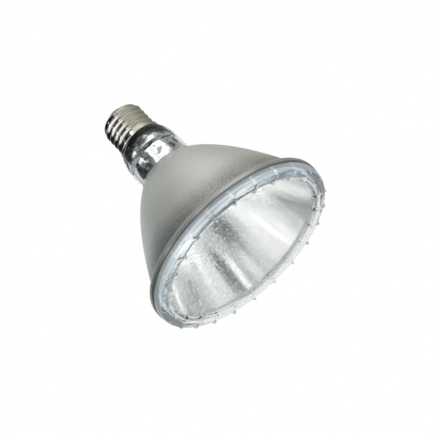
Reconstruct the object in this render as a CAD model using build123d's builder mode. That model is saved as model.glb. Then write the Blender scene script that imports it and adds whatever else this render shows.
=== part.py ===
"""Pressed-glass halogen reflector bulb with a 27 mm screw cap, standing on its lens.

Millimetres. +Z runs up the axis of the bulb, from the lens to the cap. The origin is on the axis, in the
plane of the pips of the lens, on which the bulb stands.
"""

import os
from math import sqrt

from build123d import *

# Lens: outside
lens_inset = 0.4  # from the edge of the flange
rim_edge = 2.6  # straight edge behind the rounded shoulder
shoulder_radius = 3.4
land_width = 1.7  # flat front of the shoulder
step_run = 1.0  # slope from the land back to the ring
step_depth = 1.4
bead_radius = 0.8  # ring moulded round the face
face_dome = 1.2
lens_thickness = 3.2

# Lens: pips that keep the face off a table
pip_count = 24
pip_height = 0.9
pip_width = 2.0
pip_length = 7.4
pip_outer_inset = 1.0  # from the edge of the lens
pip_root = 0.8  # depth of a pip in the glass
pip_draft = 8  # degrees

# Joint between the lens and the reflector
seal_thickness = 0.4
seal_inset = 0.5
spigot_clearance = 0.4
spigot_height = 0.8
spigot_width = 2.2
spigot_slope = 0.8  # from the top of the spigot down to the back of the face

# Reflector: mirror, outer bowl and flange
flange_diameter = 120.6
flange_width = 5.44  # from the mouth of the mirror to the edge
flange_edge = 2.0
flange_round = 3.2
flange_foot = 1.4  # hollow between the flange and the bowl
focal_length = 11.0
wall_growth = 1.1  # how much longer the focal length of the outer bowl is
vertex_wall = 1.6

# Reflector: neck
well_diameter = 26.0
well_depth = 8.0  # beyond the vertex of the mirror
web_thickness = 3.0
neck_foot_diameter = 36.6
neck_top_diameter = 34.6
neck_groove_width = 1.2
neck_groove_depth = 0.45
neck_length = 15.8
neck_shoulder_height = 10.1
neck_cavity_diameter = 26.8
neck_cavity_height = 2.0
throat_wall = 2.6
throat_length = 7.4

# Screw shell
shell_seat_gap = 0.3
shell_wall = 0.5
lip_overhang = 0.3
lip_height = 0.8
collar_diameter = 27.8
collar_height = 3.2
collar_slope = 0.8
thread_diameter = 26.4
thread_depth = 1.05
thread_pitch = 3.629
thread_crest_width = 1.3
thread_root_width = 0.3
thread_length = 16.0
shell_end_diameter = 20.8
shell_end_rise = 0.25  # beyond the inward turn of the end

# Cap end
insulator_plug = 1.6
insulator_height = 3.2
insulator_lip = 0.3
insulator_top_diameter = 12.0
cap_clearance = 0.05
contact_diameter = 9.6
contact_thickness = 0.7
solder_diameter = 5.4
solder_height = 1.1

# Cement
cement_inset = 0.4  # behind the rim of the shell
cement_wall = 0.35  # between the throat of the neck and the shell
cement_length = 6.2

# Capsule
bulb_diameter = 11.2
bulb_wall = 1.2
bulb_length = 13.0
filament_set_back = 5.5  # from the filament's middle to the shoulder of the bulb
bulb_shoulder_height = 3.0
tip_diameter = 2.4
tip_length = 1.6
pinch_width = 9.6
pinch_thickness = 3.4
pinch_length = 9.0
pinch_overlap = 1.5
foil_width = 2.2
foil_thickness = 0.1
foil_length = 5.5
foil_inset = 2.0  # from the top of the pinch

# Wires
lead_spacing = 5.2
inner_lead_diameter = 0.6
outer_lead_diameter = 1.0
wire_diameter = 0.8
lead_bend = 0.7
wire_bend = 4.0
wire_clearance = 0.05
filament_diameter = 1.6
filament_wire = 0.36
filament_length = 6.0

# Ferrules
ferrule_diameter = 3.4
ferrule_flange_diameter = 4.4
ferrule_flange_thickness = 0.8
ferrule_stand = 1.2  # above the web, in the neck
ferrule_clearance = 0.1
ferrule_lead_depth = 2.2


def bowl_radius(height: float) -> float:
    """Radius of the outside of the bowl at a height."""
    return sqrt(4 * bowl_focal_length * (bowl_vertex - height))


def parabola(focus: float, vertex: float, wide: float, narrow: float) -> list[tuple[float, float]]:
    """The three points whose quadratic curve is a parabola about the axis, from one radius to another."""
    return [
        (wide, vertex - wide**2 / (4 * focus)),
        ((wide + narrow) / 2, vertex - wide * narrow / (4 * focus)),
        (narrow, vertex - narrow**2 / (4 * focus)),
    ]


def save(piece: BuildPart, label: str) -> None:
    """Names a piece and writes it to its own file."""
    piece.part.label = label
    export_step(piece.part, f"parts/{label}.step")


os.makedirs("parts", exist_ok=True)

# Heights and radii that several pieces share
flange_radius = flange_diameter / 2
lens_radius = flange_radius - lens_inset
mouth_radius = flange_radius - flange_width
land_z = pip_height
face_edge_z = land_z + step_depth
lens_rear_z = land_z + shoulder_radius + rim_edge
flange_face_z = lens_rear_z + seal_thickness
mirror_vertex = flange_face_z + mouth_radius**2 / (4 * focal_length)
bowl_focal_length = focal_length + wall_growth
bowl_vertex = mirror_vertex + vertex_wall
focus_z = mirror_vertex - focal_length
well_radius = well_diameter / 2
well_floor_z = mirror_vertex + well_depth
web_top_z = well_floor_z + web_thickness
neck_foot_radius = neck_foot_diameter / 2
neck_top_radius = neck_top_diameter / 2
junction_z = bowl_vertex - neck_foot_radius**2 / (4 * bowl_focal_length)
neck_shoulder_z = junction_z + neck_length
seat_z = neck_shoulder_z + neck_shoulder_height
shell_rim_z = seat_z + shell_seat_gap
collar_radius = collar_diameter / 2
crest_radius = thread_diameter / 2
root_radius = crest_radius - thread_depth
shell_bore = root_radius - shell_wall
plug_radius = shell_bore - cap_clearance
throat_radius = plug_radius - cement_wall - cap_clearance
throat_bore = throat_radius - throat_wall
thread_start_z = shell_rim_z + collar_height
thread_end_z = thread_start_z + thread_length
shell_end_radius = shell_end_diameter / 2
shell_end_z = thread_end_z + root_radius - shell_end_radius + shell_end_rise
insulator_top_z = shell_end_z + insulator_height
contact_top_z = insulator_top_z + contact_thickness
lead_x = lead_spacing / 2
wire_hole = wire_diameter / 2 + wire_clearance

# Lens
land_outer = lens_radius - shoulder_radius
land_inner = land_outer - land_width
ring_outer = land_inner - step_run
face_radius = ring_outer - 2 * bead_radius
spigot_radius = mouth_radius - spigot_clearance
spigot_bore = spigot_radius - spigot_width
dish_radius = spigot_bore - spigot_slope
face_centre_z = face_edge_z - face_dome
pip_centre = lens_radius - pip_outer_inset - pip_length / 2
with BuildPart() as lens:
    with BuildSketch(Plane.XZ):
        with BuildLine():
            TangentArc((0, face_centre_z), (face_radius, face_edge_z), tangent=(1, 0))
            ThreePointArc(
                (face_radius, face_edge_z),
                (face_radius + bead_radius, face_edge_z - bead_radius),
                (ring_outer, face_edge_z),
            )
            Polyline((ring_outer, face_edge_z), (land_inner, land_z), (land_outer, land_z))
            TangentArc((land_outer, land_z), (lens_radius, land_z + shoulder_radius), tangent=(1, 0))
            Polyline(
                (lens_radius, land_z + shoulder_radius),
                (lens_radius, lens_rear_z),
                (spigot_radius, lens_rear_z),
                (spigot_radius, lens_rear_z + spigot_height),
                (spigot_bore, lens_rear_z + spigot_height),
                (dish_radius, face_edge_z + lens_thickness),
            )
            TangentArc(
                (0, face_centre_z + lens_thickness),
                (dish_radius, face_edge_z + lens_thickness),
                tangent=(1, 0),
            )
            Line((0, face_centre_z + lens_thickness), (0, face_centre_z))
        make_face()
    revolve(axis=Axis.Z)
    with BuildSketch(Plane.XY.offset(face_edge_z + pip_root)):
        with PolarLocations(pip_centre, pip_count):
            Rectangle(pip_length, pip_width)
    extrude(amount=-(face_edge_z + pip_root), taper=pip_draft)
save(lens, "lens")

# Sealant between the lens and the flange
with BuildPart() as rim_seal:
    with BuildSketch(Plane.XY.offset(lens_rear_z)):
        Circle(lens_radius - seal_inset)
        Circle(mouth_radius + seal_inset, mode=Mode.SUBTRACT)
    extrude(amount=seal_thickness)
save(rim_seal, "rim_seal")

# Reflector: bowl, flange and neck pressed as one, with the mirror inside
flange_rear_z = flange_face_z + flange_edge + flange_round
foot_z = flange_rear_z + flange_foot
mirror_curve = parabola(focal_length, mirror_vertex, mouth_radius, well_radius)
bowl_curve = parabola(bowl_focal_length, bowl_vertex, bowl_radius(foot_z), neck_foot_radius)
groove_top_z = junction_z + neck_groove_width
throat_top_z = seat_z + throat_length
cavity_z = web_top_z + neck_cavity_height
ferrule_hole = ferrule_diameter / 2 + ferrule_clearance
with BuildPart() as reflector:
    with BuildSketch(Plane.XZ):
        with BuildLine():
            Line((mouth_radius, flange_face_z), (flange_radius, flange_face_z))
            Line((flange_radius, flange_face_z), (flange_radius, flange_face_z + flange_edge))
            TangentArc(
                (flange_radius, flange_face_z + flange_edge),
                (flange_radius - flange_round, flange_rear_z),
                tangent=(0, 1),
            )
            TangentArc(
                (flange_radius - flange_round, flange_rear_z),
                (bowl_radius(foot_z), foot_z),
                tangent=(-1, 0),
            )
            Bezier(*bowl_curve)
            ThreePointArc(
                (neck_foot_radius, junction_z),
                (neck_foot_radius - neck_groove_depth, (junction_z + groove_top_z) / 2),
                (neck_foot_radius, groove_top_z),
            )
            Line((neck_foot_radius, groove_top_z), (neck_top_radius, neck_shoulder_z))
            TangentArc(
                (neck_top_radius, neck_shoulder_z), (collar_radius, seat_z), tangent=(0, 1)
            )
            Polyline(
                (collar_radius, seat_z),
                (throat_radius, seat_z),
                (throat_radius, throat_top_z),
                (throat_bore, throat_top_z),
                (throat_bore, seat_z),
            )
            TangentArc(
                (neck_cavity_diameter / 2, cavity_z), (throat_bore, seat_z), tangent=(0, 1)
            )
            Polyline(
                (neck_cavity_diameter / 2, cavity_z),
                (neck_cavity_diameter / 2, web_top_z),
                (0, web_top_z),
                (0, well_floor_z),
                (well_radius, well_floor_z),
                mirror_curve[-1],
            )
            Bezier(*mirror_curve)
        make_face()
    revolve(axis=Axis.Z)
    with BuildSketch(Plane.XY.offset(well_floor_z)):
        with Locations((-lead_x, 0), (lead_x, 0)):
            Circle(ferrule_hole)
    extrude(amount=web_thickness, mode=Mode.SUBTRACT)
save(reflector, "reflector")

# Screw shell: a collar, a round thread rolled in one start, and an end turned in over the insulator
lip_radius = collar_radius + lip_overhang
thread_base = root_radius - shell_wall / 2
flank_radius = crest_radius - thread_depth / 2
ridge_foot = (thread_pitch - thread_root_width) / 2
trim_radius = crest_radius + shell_wall
with BuildPart() as thread:
    with BuildLine():
        thread_path = Helix(
            pitch=thread_pitch,
            height=thread_length + thread_pitch,
            radius=root_radius,
            center=(0, 0, thread_start_z - thread_pitch / 2),
        )
    with BuildSketch(Plane(origin=(0, 0, (thread_path @ 0).Z), x_dir=(1, 0, 0), z_dir=(0, -1, 0))):
        with BuildLine():
            Polyline(
                (flank_radius, -thread_crest_width / 2),
                (thread_base, -ridge_foot),
                (thread_base, ridge_foot),
                (flank_radius, thread_crest_width / 2),
            )
            ThreePointArc(
                (flank_radius, -thread_crest_width / 2),
                (crest_radius, 0),
                (flank_radius, thread_crest_width / 2),
            )
        make_face()
    sweep(path=thread_path, is_frenet=True)
    with BuildSketch(Plane.XZ):
        with BuildLine():
            Polyline(
                (shell_bore, thread_start_z),
                (trim_radius, thread_start_z),
                (trim_radius, thread_end_z - (trim_radius - root_radius)),
                (root_radius, thread_end_z),
                (shell_bore, thread_end_z),
                close=True,
            )
        make_face()
    revolve(axis=Axis.Z, mode=Mode.INTERSECT)

with BuildPart() as screw_shell:
    with BuildSketch(Plane.XZ):
        with BuildLine():
            Polyline(
                (collar_radius - shell_wall, shell_rim_z),
                (lip_radius, shell_rim_z),
                (lip_radius, shell_rim_z + lip_height),
                (collar_radius, shell_rim_z + lip_height),
                (collar_radius, thread_start_z - collar_slope),
                (root_radius, thread_start_z),
                (root_radius, thread_end_z),
            )
            TangentArc((root_radius, thread_end_z), (shell_end_radius, shell_end_z), tangent=(0, 1))
            Line((shell_end_radius, shell_end_z), (shell_end_radius - shell_wall, shell_end_z))
            TangentArc(
                (shell_bore, thread_end_z),
                (shell_end_radius - shell_wall, shell_end_z),
                tangent=(0, 1),
            )
            Polyline(
                (shell_bore, thread_end_z),
                (shell_bore, thread_start_z),
                (collar_radius - shell_wall, thread_start_z - collar_slope),
                (collar_radius - shell_wall, shell_rim_z),
            )
        make_face()
    revolve(axis=Axis.Z)
    add(thread.part)
save(screw_shell, "screw_shell")

# Insulator moulded in the end of the shell
insulator_mouth = shell_end_radius - shell_wall - cap_clearance
with BuildPart() as cap_insulator:
    with BuildSketch(Plane.XZ):
        with BuildLine():
            Polyline(
                (wire_hole, thread_end_z - insulator_plug),
                (plug_radius, thread_end_z - insulator_plug),
                (plug_radius, thread_end_z),
            )
            TangentArc((plug_radius, thread_end_z), (insulator_mouth, shell_end_z), tangent=(0, 1))
            Polyline(
                (insulator_mouth, shell_end_z),
                (insulator_mouth, shell_end_z + insulator_lip),
                (insulator_top_diameter / 2, insulator_top_z),
                (wire_hole, insulator_top_z),
                (wire_hole, thread_end_z - insulator_plug),
            )
        make_face()
    revolve(axis=Axis.Z)
save(cap_insulator, "cap_insulator")

# Contact plate with its rounded edge, and the drop of solder on it
with BuildPart() as centre_contact:
    with BuildSketch(Plane.XY.offset(insulator_top_z)):
        Circle(contact_diameter / 2)
        Circle(wire_hole, mode=Mode.SUBTRACT)
    extrude(amount=contact_thickness)
    rim = centre_contact.edges().filter_by(GeomType.CIRCLE).group_by(Axis.Z)[-1].sort_by(SortBy.RADIUS)[-1]
    fillet(rim, contact_thickness / 2)
save(centre_contact, "centre_contact")

with BuildPart() as contact_solder:
    with BuildSketch(Plane.XZ):
        with BuildLine():
            Polyline((0, contact_top_z + solder_height), (0, contact_top_z), (solder_diameter / 2, contact_top_z))
            TangentArc(
                (0, contact_top_z + solder_height), (solder_diameter / 2, contact_top_z), tangent=(1, 0)
            )
        make_face()
    revolve(axis=Axis.Z)
save(contact_solder, "contact_solder")

# Cement between the glass throat and the shell
cement_start_z = shell_rim_z + cement_inset
cement_end_z = cement_start_z + cement_length
cement_bore = throat_radius + cap_clearance
with BuildPart() as basing_cement:
    with BuildSketch(Plane.XZ):
        with BuildLine():
            Polyline(
                (cement_bore, cement_start_z),
                (collar_radius - shell_wall - cap_clearance, cement_start_z),
                (collar_radius - shell_wall - cap_clearance, thread_start_z - collar_slope),
                (plug_radius, thread_start_z),
                (plug_radius, cement_end_z),
                (cement_bore, cement_end_z),
                close=True,
            )
        make_face()
    revolve(axis=Axis.Z)
save(basing_cement, "basing_cement")

# Quartz capsule, its bulb blown and its foot pinched in one
bulb_radius = bulb_diameter / 2
cavity_radius = bulb_radius - bulb_wall
bulb_top_z = focus_z + filament_set_back
bulb_foot_z = bulb_top_z - bulb_length
pinch_bottom_z = bulb_top_z + bulb_shoulder_height - pinch_overlap
pinch_top_z = bulb_top_z + bulb_shoulder_height + pinch_length
foil_top_z = pinch_top_z - foil_inset
foil_bottom_z = foil_top_z - foil_length
inner_lead_radius = inner_lead_diameter / 2
outer_lead_radius = outer_lead_diameter / 2
with BuildPart() as capsule_envelope:
    with BuildSketch(Plane.XZ):
        with BuildLine():
            Polyline((0, bulb_top_z + bulb_shoulder_height), (0, bulb_foot_z - bulb_radius - tip_length))
            TangentArc(
                (0, bulb_foot_z - bulb_radius - tip_length),
                (tip_diameter / 2, bulb_foot_z - bulb_radius - tip_length + tip_diameter / 2),
                tangent=(1, 0),
            )
            dome_z = bulb_foot_z - sqrt(bulb_radius**2 - (tip_diameter / 2) ** 2)
            Line(
                (tip_diameter / 2, bulb_foot_z - bulb_radius - tip_length + tip_diameter / 2),
                (tip_diameter / 2, dome_z),
            )
            TangentArc((bulb_radius, bulb_foot_z), (tip_diameter / 2, dome_z), tangent=(0, -1))
            Line((bulb_radius, bulb_foot_z), (bulb_radius, bulb_top_z))
            TangentArc(
                (bulb_radius, bulb_top_z),
                (pinch_thickness / 2, bulb_top_z + bulb_shoulder_height),
                tangent=(0, 1),
            )
            Line(
                (pinch_thickness / 2, bulb_top_z + bulb_shoulder_height),
                (0, bulb_top_z + bulb_shoulder_height),
            )
        make_face()
    revolve(axis=Axis.Z)
    with BuildSketch(Plane.XY.offset(pinch_bottom_z)):
        RectangleRounded(pinch_width, pinch_thickness, pinch_thickness / 3)
    extrude(amount=pinch_top_z - pinch_bottom_z)
    with BuildSketch(Plane.XZ):
        with BuildLine():
            Line((0, bulb_top_z), (0, bulb_foot_z - cavity_radius))
            TangentArc((0, bulb_foot_z - cavity_radius), (cavity_radius, bulb_foot_z), tangent=(1, 0))
            Polyline((cavity_radius, bulb_foot_z), (cavity_radius, bulb_top_z), (0, bulb_top_z))
        make_face()
    revolve(axis=Axis.Z, mode=Mode.SUBTRACT)
    with BuildSketch(Plane.XY.offset(bulb_top_z)):
        with Locations((-lead_x, 0), (lead_x, 0)):
            Circle(inner_lead_radius)
    extrude(amount=foil_bottom_z - bulb_top_z, mode=Mode.SUBTRACT)
    with BuildSketch(Plane.XY.offset(foil_bottom_z)):
        with Locations((-lead_x, 0), (lead_x, 0)):
            Rectangle(foil_width, foil_thickness)
    extrude(amount=foil_length, mode=Mode.SUBTRACT)
    with BuildSketch(Plane.XY.offset(foil_top_z)):
        with Locations((-lead_x, 0), (lead_x, 0)):
            Circle(outer_lead_radius)
    extrude(amount=foil_inset, mode=Mode.SUBTRACT)
save(capsule_envelope, "capsule_envelope")

# Filament on the focus: a close coil of fine wire, drawn as the tube that its turns make
filament_radius = filament_diameter / 2
filament_bottom_z = focus_z - filament_length / 2
filament_top_z = focus_z + filament_length / 2
with BuildPart() as filament:
    with BuildSketch(Plane.XY.offset(filament_bottom_z)):
        Circle(filament_radius)
        Circle(filament_radius - filament_wire, mode=Mode.SUBTRACT)
    extrude(amount=filament_length)
save(filament, "filament")

# Wires that hold the filament: the left one at its top, the right one at its foot
lead_tip = filament_radius + wire_clearance
lead_grip = inner_lead_radius  # how far a wire lies inside the end of the coil
lead_tips = {
    "inner_lead_left": (-lead_x, -lead_tip, filament_top_z - lead_grip),
    "inner_lead_right": (lead_x, lead_tip, filament_bottom_z + lead_grip),
}
for label, (foot_x, tip_x, tip_z) in lead_tips.items():
    with BuildPart() as inner_lead:
        with BuildLine():
            route = FilletPolyline(
                (foot_x, 0, foil_bottom_z),
                (foot_x, 0, tip_z),
                (tip_x, 0, tip_z),
                radius=lead_bend,
            )
        with BuildSketch(Plane(origin=route @ 0, z_dir=route % 0)):
            Circle(inner_lead_radius)
        sweep(path=route)
    save(inner_lead, label)

# Foils, stiff outer wires and ferrules, one of each to a side
ferrule_bottom_z = well_floor_z - ferrule_flange_thickness
ferrule_top_z = web_top_z + ferrule_stand
lead_stop_z = ferrule_bottom_z + ferrule_lead_depth
lead_hole = outer_lead_radius + wire_clearance
for side, name in ((-1, "left"), (1, "right")):
    with BuildPart() as foil:
        with BuildSketch(Plane.XY.offset(foil_bottom_z)):
            with Locations((side * lead_x, 0)):
                Rectangle(foil_width, foil_thickness)
        extrude(amount=foil_length)
    save(foil, f"foil_{name}")

    with BuildPart() as outer_lead:
        with BuildSketch(Plane.XY.offset(foil_top_z)):
            with Locations((side * lead_x, 0)):
                Circle(outer_lead_radius)
        extrude(amount=lead_stop_z - foil_top_z)
    save(outer_lead, f"outer_lead_{name}")

    with BuildPart() as ferrule:
        with BuildSketch(Plane.XY.offset(ferrule_bottom_z)):
            with Locations((side * lead_x, 0)):
                Circle(ferrule_flange_diameter / 2)
        extrude(amount=ferrule_flange_thickness)
        with BuildSketch(Plane.XY.offset(well_floor_z)):
            with Locations((side * lead_x, 0)):
                Circle(ferrule_diameter / 2)
        extrude(amount=ferrule_top_z - well_floor_z)
        with BuildSketch(Plane.XY.offset(ferrule_bottom_z)):
            with Locations((side * lead_x, 0)):
                Circle(lead_hole)
        extrude(amount=ferrule_lead_depth, mode=Mode.SUBTRACT)
        with BuildSketch(Plane.XY.offset(lead_stop_z)):
            with Locations((side * lead_x, 0)):
                Circle(wire_hole)
        extrude(amount=ferrule_top_z - lead_stop_z, mode=Mode.SUBTRACT)
    save(ferrule, f"ferrule_{name}")

# Wires through the neck: the left one to the contact plate, the right one welded inside the shell
neck_bend_z = ferrule_top_z + wire_bend
throat_x = throat_bore - wire_diameter
weld_x = shell_bore - wire_clearance - wire_diameter / 2
weld_top_z = thread_end_z - insulator_plug - wire_diameter
weld_z = weld_top_z - wire_bend
with BuildPart() as contact_wire:
    with BuildLine():
        route = FilletPolyline(
            (-lead_x, 0, lead_stop_z),
            (-lead_x, 0, neck_bend_z),
            (0, 0, throat_top_z),
            (0, 0, contact_top_z),
            radius=wire_bend,
        )
    with BuildSketch(Plane(origin=route @ 0, z_dir=route % 0)):
        Circle(wire_diameter / 2)
    sweep(path=route)
save(contact_wire, "contact_wire")

with BuildPart() as shell_wire:
    with BuildLine():
        route = FilletPolyline(
            (lead_x, 0, lead_stop_z),
            (lead_x, 0, neck_bend_z),
            (throat_x, 0, seat_z + wire_bend),
            (throat_x, 0, throat_top_z + wire_diameter),
            (weld_x, 0, weld_z),
            (weld_x, 0, weld_top_z),
            radius=wire_bend / 2,
        )
    with BuildSketch(Plane(origin=route @ 0, z_dir=route % 0)):
        Circle(wire_diameter / 2)
    sweep(path=route)
save(shell_wire, "shell_wire")
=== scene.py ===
"""Looks of a pressed-glass halogen reflector bulb: glass, mirror, nickel cap, studio light and camera.

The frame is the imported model's: +Z runs up the axis of the bulb, from the lens to the cap. Blender's unit is
the metre. The sizes below are in millimetres, turned into metres where a mesh or a pattern is made.
"""

import logging
import math
from dataclasses import dataclass, field
from enum import Enum

import bpy
import numpy as np
from mathutils import Matrix, Vector


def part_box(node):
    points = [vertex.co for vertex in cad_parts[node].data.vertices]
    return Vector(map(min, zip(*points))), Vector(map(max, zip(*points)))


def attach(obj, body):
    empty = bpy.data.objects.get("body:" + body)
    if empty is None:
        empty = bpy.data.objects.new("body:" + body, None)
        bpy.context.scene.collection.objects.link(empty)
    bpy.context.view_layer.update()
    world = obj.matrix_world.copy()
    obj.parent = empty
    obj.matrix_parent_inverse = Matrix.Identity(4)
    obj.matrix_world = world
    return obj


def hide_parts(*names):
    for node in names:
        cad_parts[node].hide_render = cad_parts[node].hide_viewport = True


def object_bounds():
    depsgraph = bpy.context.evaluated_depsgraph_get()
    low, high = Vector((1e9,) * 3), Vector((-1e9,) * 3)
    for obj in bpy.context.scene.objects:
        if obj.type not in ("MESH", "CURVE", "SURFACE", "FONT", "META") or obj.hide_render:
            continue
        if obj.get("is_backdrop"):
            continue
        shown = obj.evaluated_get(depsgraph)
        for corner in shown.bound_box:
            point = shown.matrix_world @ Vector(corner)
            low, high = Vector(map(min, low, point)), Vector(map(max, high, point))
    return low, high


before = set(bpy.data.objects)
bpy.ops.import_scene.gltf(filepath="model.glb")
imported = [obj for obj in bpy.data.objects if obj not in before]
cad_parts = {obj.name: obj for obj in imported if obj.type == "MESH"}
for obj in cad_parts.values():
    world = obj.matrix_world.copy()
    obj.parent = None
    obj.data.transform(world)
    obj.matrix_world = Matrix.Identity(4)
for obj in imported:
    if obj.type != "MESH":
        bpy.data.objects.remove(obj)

MM = 0.001
TINY = 1e-6  # millimetres, under which two places are the same
SHARP_ANGLE = 32.0  # degrees between two faces, past which their edge is sharp
ROOT_BODY = "root"
LOG = logging.getLogger("bulb")

Point = tuple[float, float]
Limits = tuple[float, float]
Colour = tuple[float, float, float]


class Surface(Enum):
    """Surfaces of the bulb that have a finish of their own."""

    BOWL = "bowl"
    FLANGE = "flange"
    NECK = "neck"
    MIRROR = "mirror"
    WELL = "well"
    LENS_FACE = "lens_face"
    LENS_BACK = "lens_back"
    LENS_RIM = "lens_rim"
    LENS_WALL = "lens_wall"
    LENS_BEAD = "lens_bead"
    LENS_BOND = "lens_bond"
    NICKEL = "nickel"


def scaled(colour: Colour, share: float) -> Colour:
    """Returns a colour that is darker or lighter by a share."""
    return tuple(part * share for part in colour)


class Socket:
    """A shader socket that takes part in Python expressions."""

    def __init__(self, graph: "Graph", socket: bpy.types.NodeSocket) -> None:
        """Wraps a socket.

        Args:
            graph: The graph that the socket belongs to.
            socket: The output socket.
        """
        self.graph = graph
        self.socket = socket

    def _math(self, operation: str, *others: "Socket | float") -> "Socket":
        """Joins this socket with others by one Math node.

        Args:
            operation: The node's operation.
            others: The other operands.

        Returns:
            The node's value.
        """
        operands = dict(enumerate((self, *others)))
        return self.graph.out(self.graph.node("ShaderNodeMath", operands, operation=operation))

    def __add__(self, other: "Socket | float") -> "Socket":
        """Returns the sum."""
        return self._math("ADD", other)

    __radd__ = __add__

    def __sub__(self, other: "Socket | float") -> "Socket":
        """Returns the difference."""
        return self._math("SUBTRACT", other)

    def __rsub__(self, other: float) -> "Socket":
        """Returns the reflected difference."""
        return self * -1.0 + other

    def __mul__(self, other: "Socket | float") -> "Socket":
        """Returns the product."""
        return self._math("MULTIPLY", other)

    __rmul__ = __mul__

    def root(self) -> "Socket":
        """Returns the square root."""
        return self._math("SQRT")

    def floor(self) -> "Socket":
        """Returns the whole number below."""
        return self._math("FLOOR")

    def magnitude(self) -> "Socket":
        """Returns the value without its sign."""
        return self._math("ABSOLUTE")

    def cosine(self) -> "Socket":
        """Returns the cosine."""
        return self._math("COSINE")

    def angle(self, across: "Socket") -> "Socket":
        """Returns the angle, in radians, of a point that lies this far up and so far across."""
        return self._math("ARCTAN2", across)

    def most(self, other: "Socket | float") -> "Socket":
        """Returns the greater of the two."""
        return self._math("MAXIMUM", other)

    def least(self, other: "Socket | float") -> "Socket":
        """Returns the smaller of the two."""
        return self._math("MINIMUM", other)

    def ramp(self, low: float, high: float) -> "Socket":
        """A smooth step.

        Args:
            low: Where the step is 0.
            high: Where the step is 1. It may be under low, for a falling step.

        Returns:
            The step's value, from 0 to 1.
        """
        inputs = {"Value": self, "From Min": low, "From Max": high}
        node = self.graph.node("ShaderNodeMapRange", inputs, interpolation_type="SMOOTHSTEP")
        return self.graph.out(node, "Result")

    def fade(self, limits: Limits) -> "Socket":
        """Returns a smooth step between two places, given in millimetres."""
        return self.ramp(limits[0] * MM, limits[1] * MM)


class Graph:
    """A node tree: a material's, the world's or a wound wire's."""

    def __init__(self, tree: bpy.types.NodeTree) -> None:
        """Clears a tree and takes it over.

        Args:
            tree: The tree to build in.
        """
        self.tree = tree
        tree.nodes.clear()

    def feed(self, target: bpy.types.NodeSocket, source: object) -> None:
        """Links or sets an input.

        Args:
            target: The input socket.
            source: A wrapped socket, a plain socket or a constant.
        """
        if isinstance(source, Socket):
            self.tree.links.new(source.socket, target)
        elif isinstance(source, bpy.types.NodeSocket):
            self.tree.links.new(source, target)
        else:
            target.default_value = source

    def node(self, kind: str, inputs: dict | None = None, **settings: object) -> bpy.types.Node:
        """Adds a node.

        Args:
            kind: The node's type name.
            inputs: Input name or number to a socket or a constant.
            settings: The node's own properties.

        Returns:
            The node.
        """
        node = self.tree.nodes.new(kind)
        for name, value in settings.items():
            setattr(node, name, value)
        for name, source in (inputs or {}).items():
            self.feed(node.inputs[name], source)
        return node

    def out(self, node: bpy.types.Node, name: str | int = 0) -> Socket:
        """Returns one output of a node, wrapped."""
        return Socket(self, node.outputs[name])

    def position(self) -> bpy.types.NodeSocket:
        """Returns the Object coordinates, in metres."""
        return self.node("ShaderNodeTexCoord").outputs["Object"]

    def axes(self) -> tuple[Socket, Socket, Socket]:
        """Returns the three Object coordinates as numbers, in metres."""
        split = self.node("ShaderNodeSeparateXYZ", {0: self.position()})
        return self.out(split, "X"), self.out(split, "Y"), self.out(split, "Z")

    def radius(self) -> Socket:
        """Returns the distance from the bulb's axis, in metres."""
        x, y, _ = self.axes()
        return (x * x + y * y).root()

    def noise(
        self, size: float, detail: float = 2.0, rough: float = 0.5, stretch: Colour = (1, 1, 1)
    ) -> Socket:
        """A noise pattern.

        Args:
            size: The size of its grains, in millimetres.
            detail: The number of finer layers.
            rough: How strong the finer layers are.
            stretch: Factors on the three axes, under 1 to draw the grains out.

        Returns:
            The pattern, about 0.5.
        """
        place = self.node("ShaderNodeMapping", {"Vector": self.position(), "Scale": stretch})
        inputs = {"Vector": place.outputs[0], "Scale": 1 / (size * MM), "Detail": detail, "Roughness": rough}
        return self.out(self.node("ShaderNodeTexNoise", inputs))

    def mix(self, factor: Socket, low: "Colour | Socket", high: "Colour | Socket") -> Socket:
        """Mixes two colours.

        Args:
            factor: 0 for the first and 1 for the second.
            low: The first colour.
            high: The second colour.

        Returns:
            The mixed colour.
        """
        node = self.node("ShaderNodeMix", data_type="RGBA")
        colours = [socket for socket in node.inputs if socket.type == "RGBA"]
        self.feed(node.inputs["Factor"], factor)
        for target, colour in zip(colours, (low, high)):
            self.feed(target, colour if isinstance(colour, Socket) else (*colour, 1.0))
        return Socket(self, next(socket for socket in node.outputs if socket.type == "RGBA"))

    def bump(self, height: Socket, depth: float) -> bpy.types.NodeSocket:
        """Returns a normal bumped by a height from 0 to 1, whose real depth is given in millimetres."""
        return self.node("ShaderNodeBump", {"Height": height, "Distance": depth * MM}).outputs[0]


class Coat(Graph):
    """The graph of a material, with its Principled shader."""

    def __init__(self, material: bpy.types.Material, constants: dict) -> None:
        """Clears a material and gives it its shader.

        Args:
            material: The material.
            constants: The shader's values, as they are where nothing varies.
        """
        material.use_nodes = True
        super().__init__(material.node_tree)
        self.shader = self.node("ShaderNodeBsdfPrincipled", constants)

    def paint(
        self, roughness: Socket, normal: bpy.types.NodeSocket, colour: Socket | None = None
    ) -> None:
        """Feeds what varies over the surface.

        Args:
            roughness: The roughness.
            normal: The bumped normal.
            colour: The colour, if it varies.
        """
        self.feed(self.shader.inputs["Roughness"], roughness)
        self.feed(self.shader.inputs["Normal"], normal)
        if colour is not None:
            self.feed(self.shader.inputs["Base Color"], colour)


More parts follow.
